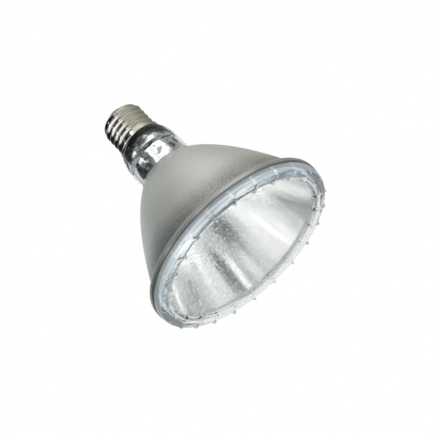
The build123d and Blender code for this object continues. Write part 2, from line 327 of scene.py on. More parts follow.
@dataclass(frozen=True)
class Finish:
    """A plain finish with a fine grain, and the parent of the patterned ones."""

    name: str
    colour: Colour
    roughness: float = 0.4
    metallic: float = 0.0
    transmission: float = 0.0
    ior: float = 1.5
    grain: float = 1.0
    grain_depth: float = 0.01
    grain_shade: float = 0.86
    swing: float = 0.12

    def vary(self, pattern: Socket) -> Socket:
        """Returns the roughness, swung about its own value by a pattern."""
        return pattern * self.swing + (self.roughness - self.swing / 2)

    def dress(self, coat: Coat) -> None:
        """Adds what varies over the surface: a fine grain in colour, roughness and height.

        Args:
            coat: The material's graph.
        """
        grain = coat.noise(self.grain, detail=3.0)
        colour = coat.mix(grain, scaled(self.colour, self.grain_shade), self.colour)
        coat.paint(self.vary(grain), coat.bump(grain, self.grain_depth), colour)

    def surface(self, coat: Coat) -> bpy.types.NodeSocket:
        """Returns the shader that the material shows."""
        return coat.shader.outputs[0]

    def material(self) -> bpy.types.Material:
        """Builds the material.

        Returns:
            The material.
        """
        made = bpy.data.materials.new(self.name)
        constants = {
            "Base Color": (*self.colour, 1.0),
            "Roughness": self.roughness,
            "Metallic": self.metallic,
            "Transmission Weight": self.transmission,
            "IOR": self.ior,
        }
        coat = Coat(made, constants)
        self.dress(coat)
        coat.node("ShaderNodeOutputMaterial", {"Surface": self.surface(coat)})
        return made


@dataclass(frozen=True)
class FrostedFinish(Finish):
    """The bowl's outside: a satin silver-grey frost with faint clouds and a stipple that grows stronger by the
    flange, where painted shade darkens it.
    """

    stipple: float = 1.3
    stipple_share: float = 0.7
    cloud: float = 16.0
    shade_edge: Limits = (0.35, 0.65)
    # Painted shade: the colour is darker near the flange, below the first height, and its stipple stronger
    # there.
    flange_shade_z: Limits = (13.0, 34.0)
    flange_shade_levels: Limits = (0.3286, 0.5565)
    open_levels: Limits = (0.85, 0.92)

    def dress(self, coat: Coat) -> None:
        """Adds the stipple, the clouds and the painted shade that darkens the frost towards the flange.

        Args:
            coat: The material's graph.
        """
        stipple = coat.noise(self.stipple, detail=3.0, rough=0.65)
        cloud = coat.noise(self.cloud)
        shade = stipple * self.stipple_share + cloud * (1 - self.stipple_share)
        # Painted shade: 0 by the flange, where the darker levels hold, and 1 higher up the bowl.
        full = coat.axes()[2].fade(self.flange_shade_z)
        low, high = (
            coat.mix(full, scaled(self.colour, shaded_level), scaled(self.colour, open_level))
            for shaded_level, open_level in zip(self.flange_shade_levels, self.open_levels)
        )
        colour = coat.mix(shade.ramp(*self.shade_edge), low, high)
        coat.paint(self.vary(cloud), coat.bump(stipple, self.grain_depth), colour)


@dataclass(frozen=True)
class FlangeFinish(Finish):
    """The flange's outside: bare glass over the mirror, with painted shade that darkens it towards the lens
    and in fine dark lines.
    """

    swing: float = 0.14
    # Painted shade: the flange darkens to the dark colour towards the lens and in fine dark rings.
    seam_shade_z: Limits = (7.6, 9.8)
    dark: Colour = (0.08, 0.085, 0.085)
    shadow_line: float = 1.6
    shadow_line_edge: Limits = (0.3, 0.9)
    shadow_line_share: float = 0.9
    streak: float = 2.2
    streak_share: float = 0.15

    def dress(self, coat: Coat) -> None:
        """Adds the painted shade towards the lens, the painted shadow lines and a faint streakiness.

        Args:
            coat: The material's graph.
        """
        height = coat.axes()[2]
        streak = coat.noise(self.streak, detail=3.0, rough=0.6)
        # Painted shade: dark rings round the flange and a fall in brightness towards the lens.
        lines = (height * (math.tau / (self.shadow_line * MM))).cosine().ramp(*self.shadow_line_edge)
        light = height.fade(self.seam_shade_z) * (1 - self.streak_share) + streak * self.streak_share
        colour = coat.mix(light * (1 - lines * self.shadow_line_share), self.dark, self.colour)
        coat.paint(self.vary(streak), coat.bump(streak, self.grain_depth), colour)


@dataclass(frozen=True)
class GlassFinish(Finish):
    """Clear pressed glass with a faint waviness and film."""

    swing: float = 0.04
    wave: float = 9.0
    wave_depth: float = 0.25
    film: float = 3.0

    def tint(self, coat: Coat) -> Socket | None:
        """Returns the tint, or None if it is the same all over."""
        return None

    def dress(self, coat: Coat) -> None:
        """Adds the waviness, the film and any tint.

        Args:
            coat: The material's graph.
        """
        wave = coat.noise(self.wave, detail=1.0)
        film = coat.noise(self.film, detail=3.0)
        coat.paint(self.vary(film), coat.bump(wave, self.wave_depth), self.tint(coat))


@dataclass(frozen=True)
class SegmentFinish(GlassFinish):
    """Clear glass pressed in segments and rings round the axis, of deeper and paler blue.

    The far side (+Y) is paler, a painted light, and a stretch towards +X is deeper than the rest, a painted
    shade.
    """

    segments: int = 24
    block_share: float = 0.7
    ring: float = 3.4
    ring_edge: Limits = (-0.9, 0.1)
    border_edge: Limits = (0.4, 0.47)
    border_share: float = 0.8
    deep: Colour = (0.62, 0.73, 0.8)
    # Painted light on the far side, and painted shade on a stretch towards +X.
    far_light_y: Limits = (5.0, 35.0)
    shaded_x: Limits = (-14.0, 8.0)
    shaded_end_x: Limits = (58.0, 42.0)
    shaded: float = 0.25

    def tint(self, coat: Coat) -> Socket:
        """The tint of the segments, their borders and the rings.

        Args:
            coat: The material's graph.

        Returns:
            The colour.
        """
        x, y, z = coat.axes()
        turn = y.angle(x) * (self.segments / math.tau)
        number = turn.floor()
        noise = coat.node("ShaderNodeTexWhiteNoise", {"W": number}, noise_dimensions="1D")
        block = coat.out(noise, "Value") * self.block_share + (1 - self.block_share)
        rings = ((coat.radius() + z) * (math.tau / (self.ring * MM))).cosine().ramp(*self.ring_edge)
        border = (turn - number - 0.5).magnitude().ramp(*self.border_edge) * self.border_share
        # Painted shade towards +X, and painted light that makes the far side pale.
        shade = x.fade(self.shaded_x) * x.fade(self.shaded_end_x)
        pale = (rings * block * (1 - shade * self.shaded)).most(border).most(y.fade(self.far_light_y))
        deep = coat.mix(shade, self.deep, scaled(self.deep, 1 - self.shaded))
        return coat.mix(pale, deep, self.colour)


@dataclass(frozen=True)
class StippledFinish(Finish):
    """The lens's face: clear glass pressed with small dimples, and painted glints as white specks, fewer
    towards +X.
    """

    swing: float = 0.06
    film: float = 4.0
    dimple: float = 1.3
    dimple_depth: float = 0.075
    dimple_soft: float = 0.6
    speck: float = 1.35
    # Painted glints: white specks, fewer towards +X.
    speck_edge: Limits = (0.42, 0.22)
    speck_chosen: Limits = (0.35, 0.5)
    glint_share: float = 0.65
    glint_colour: Colour = (0.92, 0.94, 0.95)
    speck_roughness: float = 0.4
    glint_side_x: Limits = (14.0, -8.0)
    smooth: float = 0.15

    def dress(self, coat: Coat) -> None:
        """Adds the dimples and a film.

        Args:
            coat: The material's graph.
        """
        inputs = {"Vector": coat.position(), "Scale": 1 / (self.dimple * MM), "Smoothness": self.dimple_soft}
        cells = coat.out(coat.node("ShaderNodeTexVoronoi", inputs, feature="SMOOTH_F1"), "Distance")
        coat.paint(self.vary(coat.noise(self.film)), coat.bump(cells, self.dimple_depth))

    def surface(self, coat: Coat) -> bpy.types.NodeSocket:
        """Scatters white rough specks over the clear glass: painted glints, fewer towards +X.

        Args:
            coat: The material's graph.

        Returns:
            The mixed shader.
        """
        inputs = {"Vector": coat.position(), "Scale": 1 / (self.speck * MM)}
        cells = coat.node("ShaderNodeTexVoronoi", inputs)
        number = coat.out(coat.node("ShaderNodeSeparateColor", {0: cells.outputs["Color"]}))
        # Painted glints: the share of specks, falling towards +X.
        pressed = coat.axes()[0].fade(self.glint_side_x) * (1 - self.smooth) + self.smooth
        dots = coat.out(cells, "Distance").ramp(*self.speck_edge) * number.ramp(*self.speck_chosen)
        constants = {"Base Color": (*self.glint_colour, 1.0), "Roughness": self.speck_roughness}
        frost = coat.node("ShaderNodeBsdfPrincipled", constants)
        shaders = {0: dots * pressed * self.glint_share, 1: coat.shader.outputs[0], 2: frost.outputs[0]}
        return coat.node("ShaderNodeMixShader", shaders).outputs[0]


@dataclass(frozen=True)
class MirrorFinish(Finish):
    """The vapour coat inside the bowl: bright and slightly wavy."""

    swing: float = 0.04
    wave: float = 12.0
    wave_depth: float = 0.08

    def dress(self, coat: Coat) -> None:
        """Adds the waviness."""
        wave = coat.noise(self.wave, detail=1.0)
        coat.paint(self.vary(wave), coat.bump(wave, self.wave_depth))


@dataclass(frozen=True)
class WellFinish(Finish):
    """The coat round the well, seen through the neck: wavy, blotched, and blackened by painted shade where it
    ends under the shell.
    """

    end_z: Limits = (86.0, 89.0)
    end_ragged: float = 8.0
    # Painted shade under the shell at the coat's end, in one colour with the blotches.
    shade_and_blotch: Colour = (0.12, 0.115, 0.11)
    shade_and_blotch_rise: float = 0.2
    blotch: float = 8.0
    blotch_edge: Limits = (0.56, 0.64)
    blotch_share: float = 0.85
    fleck: float = 3.0
    fleck_edge: Limits = (0.52, 0.66)
    fleck_share: float = 0.7
    wave: float = 7.0
    wave_depth: float = 1.0

    def dress(self, coat: Coat) -> None:
        """Adds the waviness, and the blotches and the painted shade at the end, which are rougher.

        Args:
            coat: The material's graph.
        """
        wave = coat.noise(self.wave, detail=1.0)
        blotch = coat.noise(self.blotch).ramp(*self.blotch_edge) * self.blotch_share
        flecks = coat.noise(self.fleck, detail=3.0, rough=0.6).ramp(*self.fleck_edge)
        # Painted shade: blackens the coat's end under the shell.
        height = coat.axes()[2] + (wave - 0.5) * (self.end_ragged * MM)
        edge = height.fade(self.end_z) * (1 - flecks * self.fleck_share)
        dark = edge + blotch - edge * blotch
        colour = coat.mix(dark, self.colour, self.shade_and_blotch)
        coat.paint(dark * self.shade_and_blotch_rise + self.roughness, coat.bump(wave, self.wave_depth), colour)


@dataclass(frozen=True)
class PlateFinish(Finish):
    """Bright metal plate with fine draw marks round the axis.

    The shell's is rougher towards +X, where painted shade darkens it, and painted shade darkens the roots of
    its thread.
    """

    swing: float = 0.1
    mark: float = 0.5
    mark_stretch: Colour = (0.12, 0.12, 1.0)
    spot: float = 5.0
    spot_edge: Limits = (0.45, 0.75)
    spot_share: float = 0.4
    # Painted shade: darkens the +X side, together with the spots of tarnishing, and the thread's roots.
    dull_and_shaded: float = 0.0
    dulled_x: Limits = (-1.0, 3.0)
    dulled_ragged: float = 4.0
    dulled_edge: float = 1.2
    dulled_rise: float = 0.42
    tarnish_and_shade_colour: Colour = (0.33, 0.315, 0.26)
    root_shade_share: float = 0.0
    root_shade_radii: Limits = (12.7, 12.25)
    root_shade_top: Limits = (117.0, 116.0)
    root_shade: Colour = (0.03, 0.03, 0.03)

    def dress(self, coat: Coat) -> None:
        """Adds the draw marks, faint tarnishing in spots, the rougher side with its painted shade and the
        painted shade in the thread's roots.

        Args:
            coat: The material's graph.
        """
        marks = coat.noise(self.mark, detail=3.0, rough=0.6, stretch=self.mark_stretch)
        spots = coat.noise(self.spot, detail=3.0).ramp(*self.spot_edge)
        # Painted shade on the +X side, mixed with real spots of tarnishing.
        ragged = coat.axes()[0] + (coat.noise(self.dulled_edge) - 0.5) * (self.dulled_ragged * MM)
        side = ragged.fade(self.dulled_x) * self.dull_and_shaded
        tarnish_and_shade = side + spots * self.spot_share * (1 - side)
        colour = coat.mix(tarnish_and_shade, self.colour, self.tarnish_and_shade_colour)
        # Painted shade in the roots of the thread.
        if self.root_shade_share:
            depth = coat.radius().fade(self.root_shade_radii) * coat.axes()[2].fade(self.root_shade_top)
            colour = coat.mix(depth * self.root_shade_share * (1 - side), colour, self.root_shade)
        coat.paint(self.vary(marks) + side * self.dulled_rise, coat.bump(marks, self.grain_depth), colour)


@dataclass
class Span:
    """A stretch of an outline that is turned about the axis."""

    points: list[Point]
    surface: Surface


def arc(centre: Point, radius: float, start: float, end: float, steps: int) -> list[Point]:
    """Points of a circular arc.

    Args:
        centre: The arc's centre.
        radius: Its radius.
        start: The angle of its first point, in degrees.
        end: The angle of its last point, in degrees.
        steps: The number of stretches.

    Returns:
        The points.
    """
    angles = np.radians(np.linspace(start, end, steps + 1))
    return [(centre[0] + radius * math.cos(a), centre[1] + radius * math.sin(a)) for a in angles]


def tangent_arc(start: Point, end: Point, upright: bool, steps: int) -> list[Point]:
    """Points of the arc that leaves a point along an axis and ends at another.

    Args:
        start: The first point.
        end: The last point.
        upright: True if it leaves along the height, False if along the radius.
        steps: The number of stretches.

    Returns:
        The points.
    """
    (r0, z0), (r1, z1) = start, end
    along, across = (z1 - z0, r1 - r0) if upright else (r1 - r0, z1 - z0)
    turn = 2 * math.atan2(across, abs(along))
    radius = abs(along) / math.sin(turn)
    points = []
    for share in np.linspace(0, 1, steps + 1):
        u = math.copysign(abs(radius), along) * math.sin(abs(turn) * share)
        v = radius * (1 - math.cos(turn * share))
        points.append((r0 + v, z0 + u) if upright else (r0 + u, z0 + v))
    return points


def add_object(name: str, data: bpy.types.ID) -> bpy.types.Object:
    """Makes an object and links it into the scene.

    Args:
        name: The object's name.
        data: Its mesh, light or camera.

    Returns:
        The object.
    """
    made = bpy.data.objects.new(name, data)
    bpy.context.scene.collection.objects.link(made)
    return made


def new_piece(
    name: str, verts: np.ndarray, faces: list, surfaces: list[int], materials: list
) -> bpy.types.Object:
    """Makes a smooth mesh object.

    Args:
        name: The object's name.
        verts: Points, in millimetres.
        faces: Corner numbers of each face.
        surfaces: Each face's material number.
        materials: The materials.

    Returns:
        The object.
    """
    mesh = bpy.data.meshes.new(name)
    mesh.from_pydata((np.asarray(verts, float) * MM).tolist(), [], faces)
    for material in materials:
        mesh.materials.append(material)
    mesh.polygons.foreach_set("material_index", surfaces)
    mesh.polygons.foreach_set("use_smooth", [True] * len(faces))
    mesh.update()
    mesh.set_sharp_from_angle(angle=math.radians(SHARP_ANGLE))
    return add_object(name, mesh)


@dataclass
class Turned:
    """A solid of revolution, whose outline may vary with the angle."""

    name: str
    spans: list[Span]
    angles: np.ndarray

    def shape(self, radius: float, height: float) -> tuple[np.ndarray, np.ndarray]:
        """Returns the radius and height of one outline point at each angle."""
        count = len(self.angles)
        return np.full(count, radius), np.full(count, height)

    def build(self, finishes: dict[Surface, bpy.types.Material]) -> bpy.types.Object:
        """Turns the outline into a mesh.

        Args:
            finishes: The material of each surface.

        Returns:
            The object.
        """
        used = list(dict.fromkeys(span.surface for span in self.spans))
        rings: list[Point] = [self.spans[0].points[0]]
        kinds: list[int] = []
        for span in self.spans:
            for point in span.points[1:]:
                rings.append(point)
                kinds.append(used.index(span.surface))
        count = len(self.angles)
        if rings[0] == rings[-1]:
            rings.pop()
        verts: list = []
        first: list[int] = []
        for radius, height in rings:
            first.append(len(verts))
            if radius < TINY:
                verts.append((0.0, 0.0, height))
                continue
            r, z = self.shape(radius, height)
            verts.extend(zip(r * np.cos(self.angles), r * np.sin(self.angles), z))
        faces, surfaces = [], []
        for index, kind in enumerate(kinds):
            a, b = index, (index + 1) % len(rings)
            for k in range(count):
                n = (k + 1) % count
                low = [first[a]] if rings[a][0] < TINY else [first[a] + k, first[a] + n]
                high = [first[b]] if rings[b][0] < TINY else [first[b] + n, first[b] + k]
                faces.append(low + high)
                surfaces.append(kind)
        return new_piece(self.name, np.array(verts), faces, surfaces, [finishes[s] for s in used])


@dataclass
class Reflector:
    """The pressed-glass bowl, flange and neck, mirrored inside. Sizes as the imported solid's."""

    flange_radius: float = 60.3
    flange_width: float = 5.44
    flange_edge: float = 2.0
    flange_break: float = 0.4
    flange_round: float = 3.2
    flange_foot: float = 1.4
    focal_length: float = 11.0
    wall_growth: float = 1.1
    vertex_wall: float = 1.6
    well_radius: float = 13.0
    well_depth: float = 8.0
    web_thickness: float = 3.0
    neck_foot_radius: float = 18.3
    neck_top_radius: float = 17.3
    neck_groove_width: float = 1.2
    neck_groove_depth: float = 0.45
    neck_length: float = 15.8
    neck_shoulder_height: float = 10.1
    cavity_radius: float = 13.4
    cavity_height: float = 2.0
    collar_radius: float = 13.9
    throat_radius: float = 11.2
    throat_bore: float = 8.6
    sides: int = 160
    round_steps: int = 10
    foot_steps: int = 6
    bowl_steps: int = 60
    shoulder_steps: int = 12
    mirror_steps: int = 70

    def parabola(self, focus: float, vertex: float, wide: float, narrow: float, steps: int) -> list[Point]:
        """Points of a parabola about the axis.

        Args:
            focus: Its focal length.
            vertex: The height of its vertex.
            wide: The radius of its first point.
            narrow: The radius of its last point.
            steps: The number of stretches.

        Returns:
            The points.
        """
        return [(r, vertex - r * r / (4 * focus)) for r in np.linspace(wide, narrow, steps + 1)]

    def build(self, finishes: dict[Surface, bpy.types.Material]) -> bpy.types.Object:
        """Builds the glass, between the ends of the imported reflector.

        Args:
            finishes: The material of each surface.

        Returns:
            The object.
        """
        face_z, throat_z = (corner.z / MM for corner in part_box("reflector"))
        mouth_radius = self.flange_radius - self.flange_width
        vertex_z = face_z + mouth_radius**2 / (4 * self.focal_length)
        bowl_focus = self.focal_length + self.wall_growth
        bowl_vertex = vertex_z + self.vertex_wall
        junction_z = bowl_vertex - self.neck_foot_radius**2 / (4 * bowl_focus)
        shoulder_z = junction_z + self.neck_length
        seat_z = shoulder_z + self.neck_shoulder_height
        edge_z = face_z + self.flange_edge
        rear_z = edge_z + self.flange_round
        foot_z = rear_z + self.flange_foot
        foot_radius = math.sqrt(4 * bowl_focus * (bowl_vertex - foot_z))
        floor_z = vertex_z + self.well_depth
        web_z = floor_z + self.web_thickness
        round_radius = self.flange_radius - self.flange_round

        flange = [(mouth_radius, face_z), (self.flange_radius - self.flange_break, face_z)]
        flange += [(self.flange_radius, face_z + self.flange_break)]
        flange += arc((round_radius, edge_z), self.flange_round, 0, 90, self.round_steps)
        flange += tangent_arc((round_radius, rear_z), (foot_radius, foot_z), False, self.foot_steps)[1:]
        bowl = self.parabola(bowl_focus, bowl_vertex, foot_radius, self.neck_foot_radius, self.bowl_steps)
        groove = [
            (self.neck_foot_radius, junction_z),
            (self.neck_foot_radius - self.neck_groove_depth, junction_z + self.neck_groove_width / 2),
            (self.neck_foot_radius, junction_z + self.neck_groove_width),
        ]
        neck_top = (self.neck_top_radius, shoulder_z)
        neck = [groove[-1], neck_top]
        neck += tangent_arc(neck_top, (self.collar_radius, seat_z), True, self.shoulder_steps)[1:]
        neck += [(self.throat_radius, seat_z), (self.throat_radius, throat_z)]
        neck += [(self.throat_bore, throat_z), (self.throat_bore, seat_z)]
        cavity_foot = (self.cavity_radius, web_z + self.cavity_height)
        inner = tangent_arc(cavity_foot, (self.throat_bore, seat_z), True, self.shoulder_steps)[::-1]
        inner += [(self.cavity_radius, web_z), (0.0, web_z)]
        well_mouth = vertex_z - self.well_radius**2 / (4 * self.focal_length)
        well = [(0.0, web_z), (0.0, floor_z), (self.well_radius, floor_z), (self.well_radius, well_mouth)]
        mirror = self.parabola(
            self.focal_length, vertex_z, mouth_radius, self.well_radius, self.mirror_steps
        )[::-1]
        spans = [
            Span(flange, Surface.FLANGE),
            Span(bowl, Surface.BOWL),
            Span(groove, Surface.NECK),
            Span(neck, Surface.NECK),
            Span(inner, Surface.WELL),
            Span(well, Surface.WELL),
            Span(mirror[:-1] + [flange[0]], Surface.MIRROR),
        ]
        angles = np.linspace(0, 2 * np.pi, self.sides, endpoint=False)
        return Turned("reflector_glass", spans, angles).build(finishes)


@dataclass
class Lens(Turned):
    """The pressed lens, with pips round its rounded shoulder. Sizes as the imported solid's."""

    name: str = "lens_glass"
    spans: list[Span] = field(default_factory=list)
    angles: np.ndarray = field(default_factory=lambda: np.zeros(0))
    radius: float = 59.9
    edge_break: float = 0.2
    shoulder_radius: float = 3.4
    land_width: float = 1.7
    step_run: float = 1.0
    step_depth: float = 1.4
    bead_radius: float = 0.8
    face_dome: float = 1.2
    thickness: float = 3.2
    pip_count: int = 24
    pip_height: float = 0.9
    pip_width: float = 1.4
    pip_length: float = 7.4
    pip_inset: float = 1.0
    pip_soft: float = 0.35
    pip_crown: float = 0.35  # share of half a pip's width, where its crown has one more point
    pip_reach: float = 1.2  # share of the soft passage that the points round it cover
    pip_marks: int = 6
    gap_marks: int = 5
    spigot_radius: float = 54.46
    spigot_width: float = 2.2
    spigot_slope: float = 0.8
    dome_steps: int = 40
    bead_steps: int = 8
    shoulder_steps: int = 14

    def shape(self, radius: float, height: float) -> tuple[np.ndarray, np.ndarray]:
        """Radius and height of one outline point at each angle, with the pips raised on the front.

        Args:
            radius: The point's radius.
            height: The point's height.

        Returns:
            The two, one value for each angle.
        """
        r, z = super().shape(radius, height)
        outer = self.radius - self.pip_inset
        off_middle = abs(radius - (outer - self.pip_length / 2))
        behind = height > self.pip_height + self.shoulder_radius - TINY
        if behind or off_middle > self.pip_length / 2 + self.pip_soft:
            return r, z
        pitch = 2 * np.pi / self.pip_count
        across = np.abs((self.angles + pitch / 2) % pitch - pitch / 2) * radius
        rise = self.fade(across, self.pip_width / 2) * self.fade(off_middle, self.pip_length / 2)
        return r, z * (1 - rise)

    def fade(self, distance: np.ndarray | float, edge: float) -> np.ndarray:
        """1 inside an edge, 0 outside it, with a rounded passage.

        Args:
            distance: Distance from the middle.
            edge: Where the passage is half way.

        Returns:
            The share.
        """
        t = np.clip((edge + self.pip_soft - distance) / (2 * self.pip_soft), 0, 1)
        return t * t * (3 - 2 * t)

    def pip_angles(self) -> np.ndarray:
        """Angles that are close together at the pips' edges and wide apart between them.

        Returns:
            The angles, in radians.
        """
        half, reach = self.pip_width / 2, self.pip_reach * self.pip_soft
        rim = self.radius - self.pip_inset - self.pip_length / 2
        pitch = 2 * np.pi * rim / self.pip_count
        near = np.linspace(half - reach, half + reach, self.pip_marks)
        gap = np.linspace(near[-1], pitch / 2, self.gap_marks)
        side = np.concatenate([[self.pip_crown * half], near, gap[1:-1]])
        marks = np.concatenate([-side[::-1], [0], side, [pitch / 2]]) / rim
        return np.concatenate([marks + 2 * np.pi * k / self.pip_count for k in range(self.pip_count)])

    def build(self, finishes: dict[Surface, bpy.types.Material]) -> bpy.types.Object:
        """Builds the lens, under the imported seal.

        Args:
            finishes: The material of each surface.

        Returns:
            The object.
        """
        land_z = self.pip_height
        edge_z = land_z + self.step_depth
        back_z = edge_z + self.thickness
        rear_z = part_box("rim_seal")[0].z / MM
        top_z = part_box("lens")[1].z / MM
        land_outer = self.radius - self.shoulder_radius
        land_inner = land_outer - self.land_width
        ring_outer = land_inner - self.step_run
        face_radius = ring_outer - 2 * self.bead_radius
        bore = self.spigot_radius - self.spigot_width

        dome = tangent_arc((0.0, edge_z - self.face_dome), (face_radius, edge_z), False, self.dome_steps)
        bead_middle = (face_radius + self.bead_radius, edge_z)
        bead = arc(bead_middle, self.bead_radius, 180, 360, self.bead_steps)
        step_middle = (ring_outer + self.step_run / 2, edge_z - self.step_depth / 2)
        step = [bead[-1], step_middle, (land_inner, land_z)]
        land = [step[-1], (land_outer - self.land_width / 2, land_z), (land_outer, land_z)]
        shoulder_middle = (land_outer, land_z + self.shoulder_radius)
        shoulder = arc(shoulder_middle, self.shoulder_radius, -90, 0, self.shoulder_steps)
        half = self.shoulder_steps // 2
        wall = [shoulder[-1], (self.radius, rear_z - self.edge_break)]
        wall += [(self.radius - self.edge_break, rear_z)]
        bond = [wall[-1], (self.spigot_radius, rear_z)]
        spigot = [bond[-1], (self.spigot_radius, top_z - self.edge_break)]
        spigot += [(self.spigot_radius - self.edge_break, top_z), (bore, top_z)]
        spigot += [(bore - self.spigot_slope, back_z)]
        back = tangent_arc((0.0, back_z - self.face_dome), spigot[-1], False, self.dome_steps)[::-1]
        self.angles = self.pip_angles()
        self.spans = [
            Span(dome, Surface.LENS_FACE),
            Span(bead, Surface.LENS_BEAD),
            Span(step, Surface.LENS_BEAD),
            Span(land, Surface.LENS_RIM),
            Span(shoulder[: half + 1], Surface.LENS_RIM),
            Span(shoulder[half:], Surface.LENS_WALL),
            Span(wall, Surface.LENS_WALL),
            Span(bond, Surface.LENS_BOND),
            Span(spigot, Surface.LENS_RIM),
            Span(back, Surface.LENS_BACK),
        ]
        return super().build(finishes)


@dataclass
class ScrewShell(Turned):
    """The nickel-plated shell with its rolled thread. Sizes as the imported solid's."""

    name: str = "cap_shell"
    spans: list[Span] = field(default_factory=list)
    angles: np.ndarray = field(default_factory=lambda: np.linspace(0, 2 * np.pi, 144, endpoint=False))
    wall: float = 0.5
    lip: float = 0.3
    lip_height: float = 0.8
    lip_break: float = 0.2
    lip_turn: float = 60.0
    lip_steps: int = 6
    collar_radius: float = 13.9
    collar_height: float = 3.2
    collar_slope: float = 0.8
    crest_radius: float = 13.2
    thread_depth: float = 1.05
    pitch: float = 3.629
    thread_length: float = 16.0
    thread_rings: int = 120
    run_in: float = 0.35  # share of the pitch in which the thread rises
    run_out: float = 0.45  # share of the pitch in which it ends
    end_radius: float = 10.4
    end_steps: int = 8
    thread_from: float = field(init=False, default=0.0)

    def shape(self, radius: float, height: float) -> tuple[np.ndarray, np.ndarray]:
        """Radius and height of one outline point at each angle, with the thread raised on the root.

        Args:
            radius: The point's radius.
            height: The point's height.

        Returns:
            The two, one value for each angle.
        """
        r, z = super().shape(radius, height)
        if abs(radius - (self.crest_radius - self.thread_depth)) > TINY:
            return r, z
        start, end = self.thread_from, self.thread_from + self.thread_length
        turn = (z - start) / self.pitch - self.angles / (2 * np.pi)
        wave = 0.5 + 0.5 * np.cos(2 * np.pi * turn)
        fade_in = np.clip((height - start) / (self.run_in * self.pitch), 0, 1)
        fade_out = np.clip((end - height) / (self.run_out * self.pitch), 0, 1)
        return r + self.thread_depth * wave * fade_in * fade_out, z

    def build(self, finishes: dict[Surface, bpy.types.Material]) -> bpy.types.Object:
        """Builds the shell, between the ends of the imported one.

        Args:
            finishes: The material of each surface.

        Returns:
            The object.
        """
        rim_z, end_z = (corner.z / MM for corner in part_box("screw_shell"))
        root = self.crest_radius - self.thread_depth
        bore = root - self.wall
        collar_bore = self.collar_radius - self.wall
        self.thread_from = rim_z + self.collar_height
        slope_z = self.thread_from - self.collar_slope
        thread_end = self.thread_from + self.thread_length
        lip_radius = self.collar_radius + self.lip
        lip_round = self.lip_height / 2

        lip = [(collar_bore, rim_z), (lip_radius - self.lip_break, rim_z)]
        lip_middle = (lip_radius - lip_round, rim_z + lip_round)
        lip += arc(lip_middle, lip_round, -self.lip_turn, self.lip_turn, self.lip_steps)
        collar = [lip[-1], (self.collar_radius, rim_z + self.lip_height)]
        collar += [(self.collar_radius, slope_z), (root, self.thread_from)]
        thread = [(root, z) for z in np.linspace(self.thread_from, thread_end, self.thread_rings)]
        end_bore = (self.end_radius - self.wall, end_z)
        end = tangent_arc((root, thread_end), (self.end_radius, end_z), True, self.end_steps) + [end_bore]
        inside = tangent_arc((bore, thread_end), end_bore, True, self.end_steps)[::-1]
        inside += [(bore, self.thread_from), (collar_bore, slope_z), lip[0]]
        self.spans = [Span(points, Surface.NICKEL) for points in (lip, collar, thread, end, inside)]
        return super().build(finishes)


@dataclass
class Filament:
    """The coiled wire on the focus, made by a node tree that winds it along a helix."""

    radius: float = 0.66
    wire: float = 0.28
    turns: float = 13.0
    turn_steps: int = 20
    wire_steps: int = 8

    def tree(self, material: bpy.types.Material) -> bpy.types.NodeTree:
        """Builds the tree that winds the wire.

        Args:
            material: The wire's material.

        Returns:
            The tree.
        """
        tree = bpy.data.node_groups.new("wound_wire", "GeometryNodeTree")
        for name in ("Radius", "Wire", "Turns", "Length", "Foot"):
            tree.interface.new_socket(name, in_out="INPUT", socket_type="NodeSocketFloat")
        tree.interface.new_socket("Geometry", in_out="OUTPUT", socket_type="NodeSocketGeometry")
        graph = Graph(tree)
        given = graph.node("NodeGroupInput").outputs
        inputs = {"Resolution": self.turn_steps, "Rotations": given["Turns"], "Height": given["Length"]}
        inputs |= {"Start Radius": given["Radius"], "End Radius": given["Radius"]}
        helix = graph.node("GeometryNodeCurveSpiral", inputs)
        inputs = {"Resolution": self.wire_steps, "Radius": given["Wire"]}
        section = graph.node("GeometryNodeCurvePrimitiveCircle", inputs)
        inputs = {"Curve": helix.outputs[0], "Profile Curve": section.outputs[0], "Fill Caps": True}
        wound = graph.node("GeometryNodeCurveToMesh", inputs)
        offset = graph.node("ShaderNodeCombineXYZ", {"Z": given["Foot"]})
        inputs = {"Geometry": wound.outputs[0], "Translation": offset.outputs[0]}
        placed = graph.node("GeometryNodeTransform", inputs)
        real = graph.node("GeometryNodeRealizeInstances", {"Geometry": placed.outputs[0]})
        inputs = {"Geometry": real.outputs[0], "Material": material}
        painted = graph.node("GeometryNodeSetMaterial", inputs)
        graph.node("NodeGroupOutput", {"Geometry": painted.outputs[0]})
        return tree

    def build(self, material: bpy.types.Material) -> bpy.types.Object:
        """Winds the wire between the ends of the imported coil.

        Args:
            material: The wire's material.

        Returns:
            The object.
        """
        low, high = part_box("filament")
        wire = self.wire / 2 * MM
        values = {
            "Radius": self.radius * MM,
            "Wire": wire,
            "Turns": self.turns,
            "Length": high.z - low.z - 2 * wire,
            "Foot": low.z + wire,
        }
        carrier = add_object("coil_carrier", bpy.data.meshes.new("coil_carrier"))
        modifier = carrier.modifiers.new("wound_wire", "NODES")
        modifier.node_group = self.tree(material)
        for item in modifier.node_group.interface.items_tree:
            if item.in_out == "INPUT":
                modifier[item.identifier] = values[item.name]
        evaluated = carrier.evaluated_get(bpy.context.evaluated_depsgraph_get())
        mesh = bpy.data.meshes.new_from_object(evaluated)
        bpy.data.objects.remove(carrier)
        mesh.name = "filament_coil"
        mesh.polygons.foreach_set("use_smooth", [True] * len(mesh.polygons))
        return add_object("filament_coil", mesh)


@dataclass
class Lamp:
    """An area light, placed in the camera's own directions, in metres."""

    name: str
    right: float
    up: float
    back: float
    width: float
    height: float
    power: float
    colour: Colour = (1.0, 1.0, 1.0)


@dataclass
class Patch:
    """A soft round patch of the surroundings, in the camera's own directions, with its radii in degrees."""

    right: float
    up: float
    back: float
    inner: float
    outer: float
    colour: Colour


LAMPS: tuple[Lamp, ...] = (
    Lamp("key", 0.0, 1.0, 0.48, 0.9, 0.9, 7.0),
    Lamp("left_edge", -0.75, 0.15, -0.75, 0.12, 0.8, 0.62, (0.86, 1.0, 0.98)),
    Lamp("left_low", -1.0, -0.25, 0.35, 0.15, 0.5, 1.4, (0.86, 1.0, 0.98)),
)

